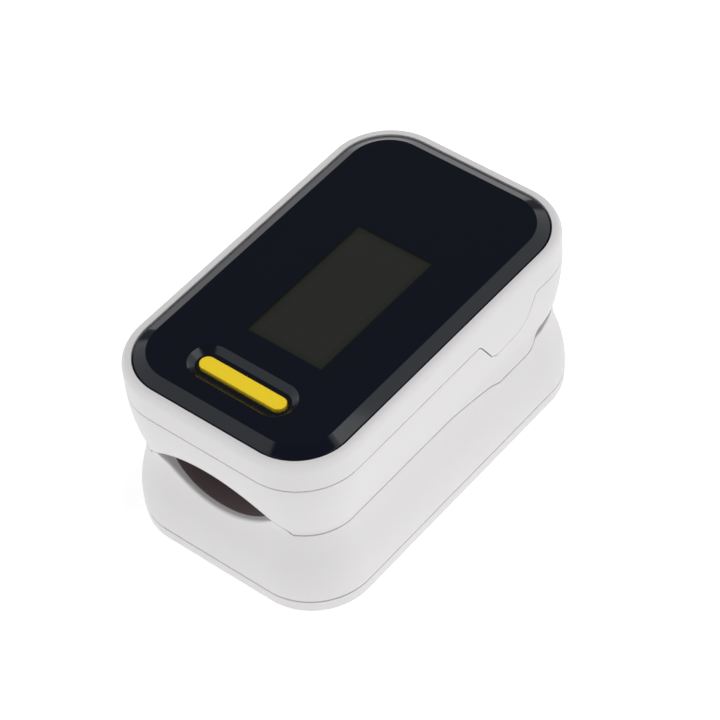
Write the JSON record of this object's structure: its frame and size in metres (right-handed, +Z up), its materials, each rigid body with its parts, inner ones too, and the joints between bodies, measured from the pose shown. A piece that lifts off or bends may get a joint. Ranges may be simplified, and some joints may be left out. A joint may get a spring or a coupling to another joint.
{
  "type": "fingertip pulse oximeter",
  "caption": "Clip-on fingertip pulse oximeter: white clam-shell halves on a sprung hinge, bevelled dark display panel, pill-shaped power button and soft finger liners.",
  "frame": {"origin": "middle of the base on the surface that it rests on", "axes": "+X across the body, +Y along the finger towards its tip (the finger opening faces -Y), +Z up through the display"},
  "size_m": [0.0372, 0.0602, 0.0302],
  "materials": {
    "panel_black": "polished acrylic, printed dark behind",
    "case_white": "fine moulded ABS, satin",
    "display_glass": "dark display glass, unlit",
    "holder_black": "matte moulded",
    "flex_amber": "polyimide film, satin",
    "board_green": "solder mask, satin",
    "chip_black": "moulded epoxy",
    "screw_steel": "bright zinc-plated",
    "button_yellow": "smooth satin",
    "pad_silicone": "soft matte silicone",
    "window_red": "clear dark red lens",
    "led_cream": "matte ceramic package",
    "cell_wrap": "plain shrink sleeve on a steel can",
    "contact_nickel": "nickel plate",
    "spring_steel": "drawn spring wire"
  },
  "bodies": {
    "lower_half": {"lower_shell": "case_white", "base_cover": "case_white", "base_screws": "screw_steel", "battery_left": "cell_wrap", "battery_right": "cell_wrap", "contact_plates": "contact_nickel", "contact_springs": "contact_nickel", "lower_pad": "pad_silicone", "sensor_window": "window_red", "photodiode": "chip_black", "sensor_board": "board_green", "hinge_pin": "screw_steel", "hinge_springs": "spring_steel", "sensor_flex": "flex_amber"},
    "upper_half": {"display_panel": "panel_black", "top_cover": "case_white", "upper_shell": "case_white", "display_module": "display_glass", "display_holder": "holder_black", "display_ribbon": "flex_amber", "main_board": "board_green", "board_chips": "chip_black", "board_screws": "screw_steel", "button_switch": "holder_black", "upper_pad": "pad_silicone", "emitter_window": "window_red", "emitter_led": "led_cream", "emitter_board": "board_green"},
    "power_button": {"power_button": "button_yellow"},
    "switch_plunger": {"switch_plunger": "holder_black"},
    "battery_door": {"battery_door": "case_white"}
  },
  "joints": [
    {"name": "clam_hinge", "type": "hinge", "parent": "lower_half", "child": "upper_half", "pos_m": [0, 0.0168, 0.0146], "axis": [-1, 0, 0], "range_deg": [0, 12], "stiffness_Nm_per_rad": 0.12, "springref_deg": -20.05, "deforming": ["hinge_springs", "sensor_flex"]},
    {"name": "button_press", "type": "slide", "parent": "upper_half", "child": "power_button", "axis": [0, 0, -1], "range_m": [0, 0.0004], "stiffness_N_per_m": 600, "springref_m": -0.0008},
    {"name": "plunger_travel", "type": "slide", "parent": "upper_half", "child": "switch_plunger", "axis": [0, 0, -1], "range_m": [0, 0.0004]},
    {"name": "door_slide", "type": "slide", "parent": "lower_half", "child": "battery_door", "axis": [0, 1, 0], "range_m": [0, 0.055]}
  ],
  "couplings": [
    {"joint": "plunger_travel", "follows": "button_press", "ratio": 1}
  ]
}
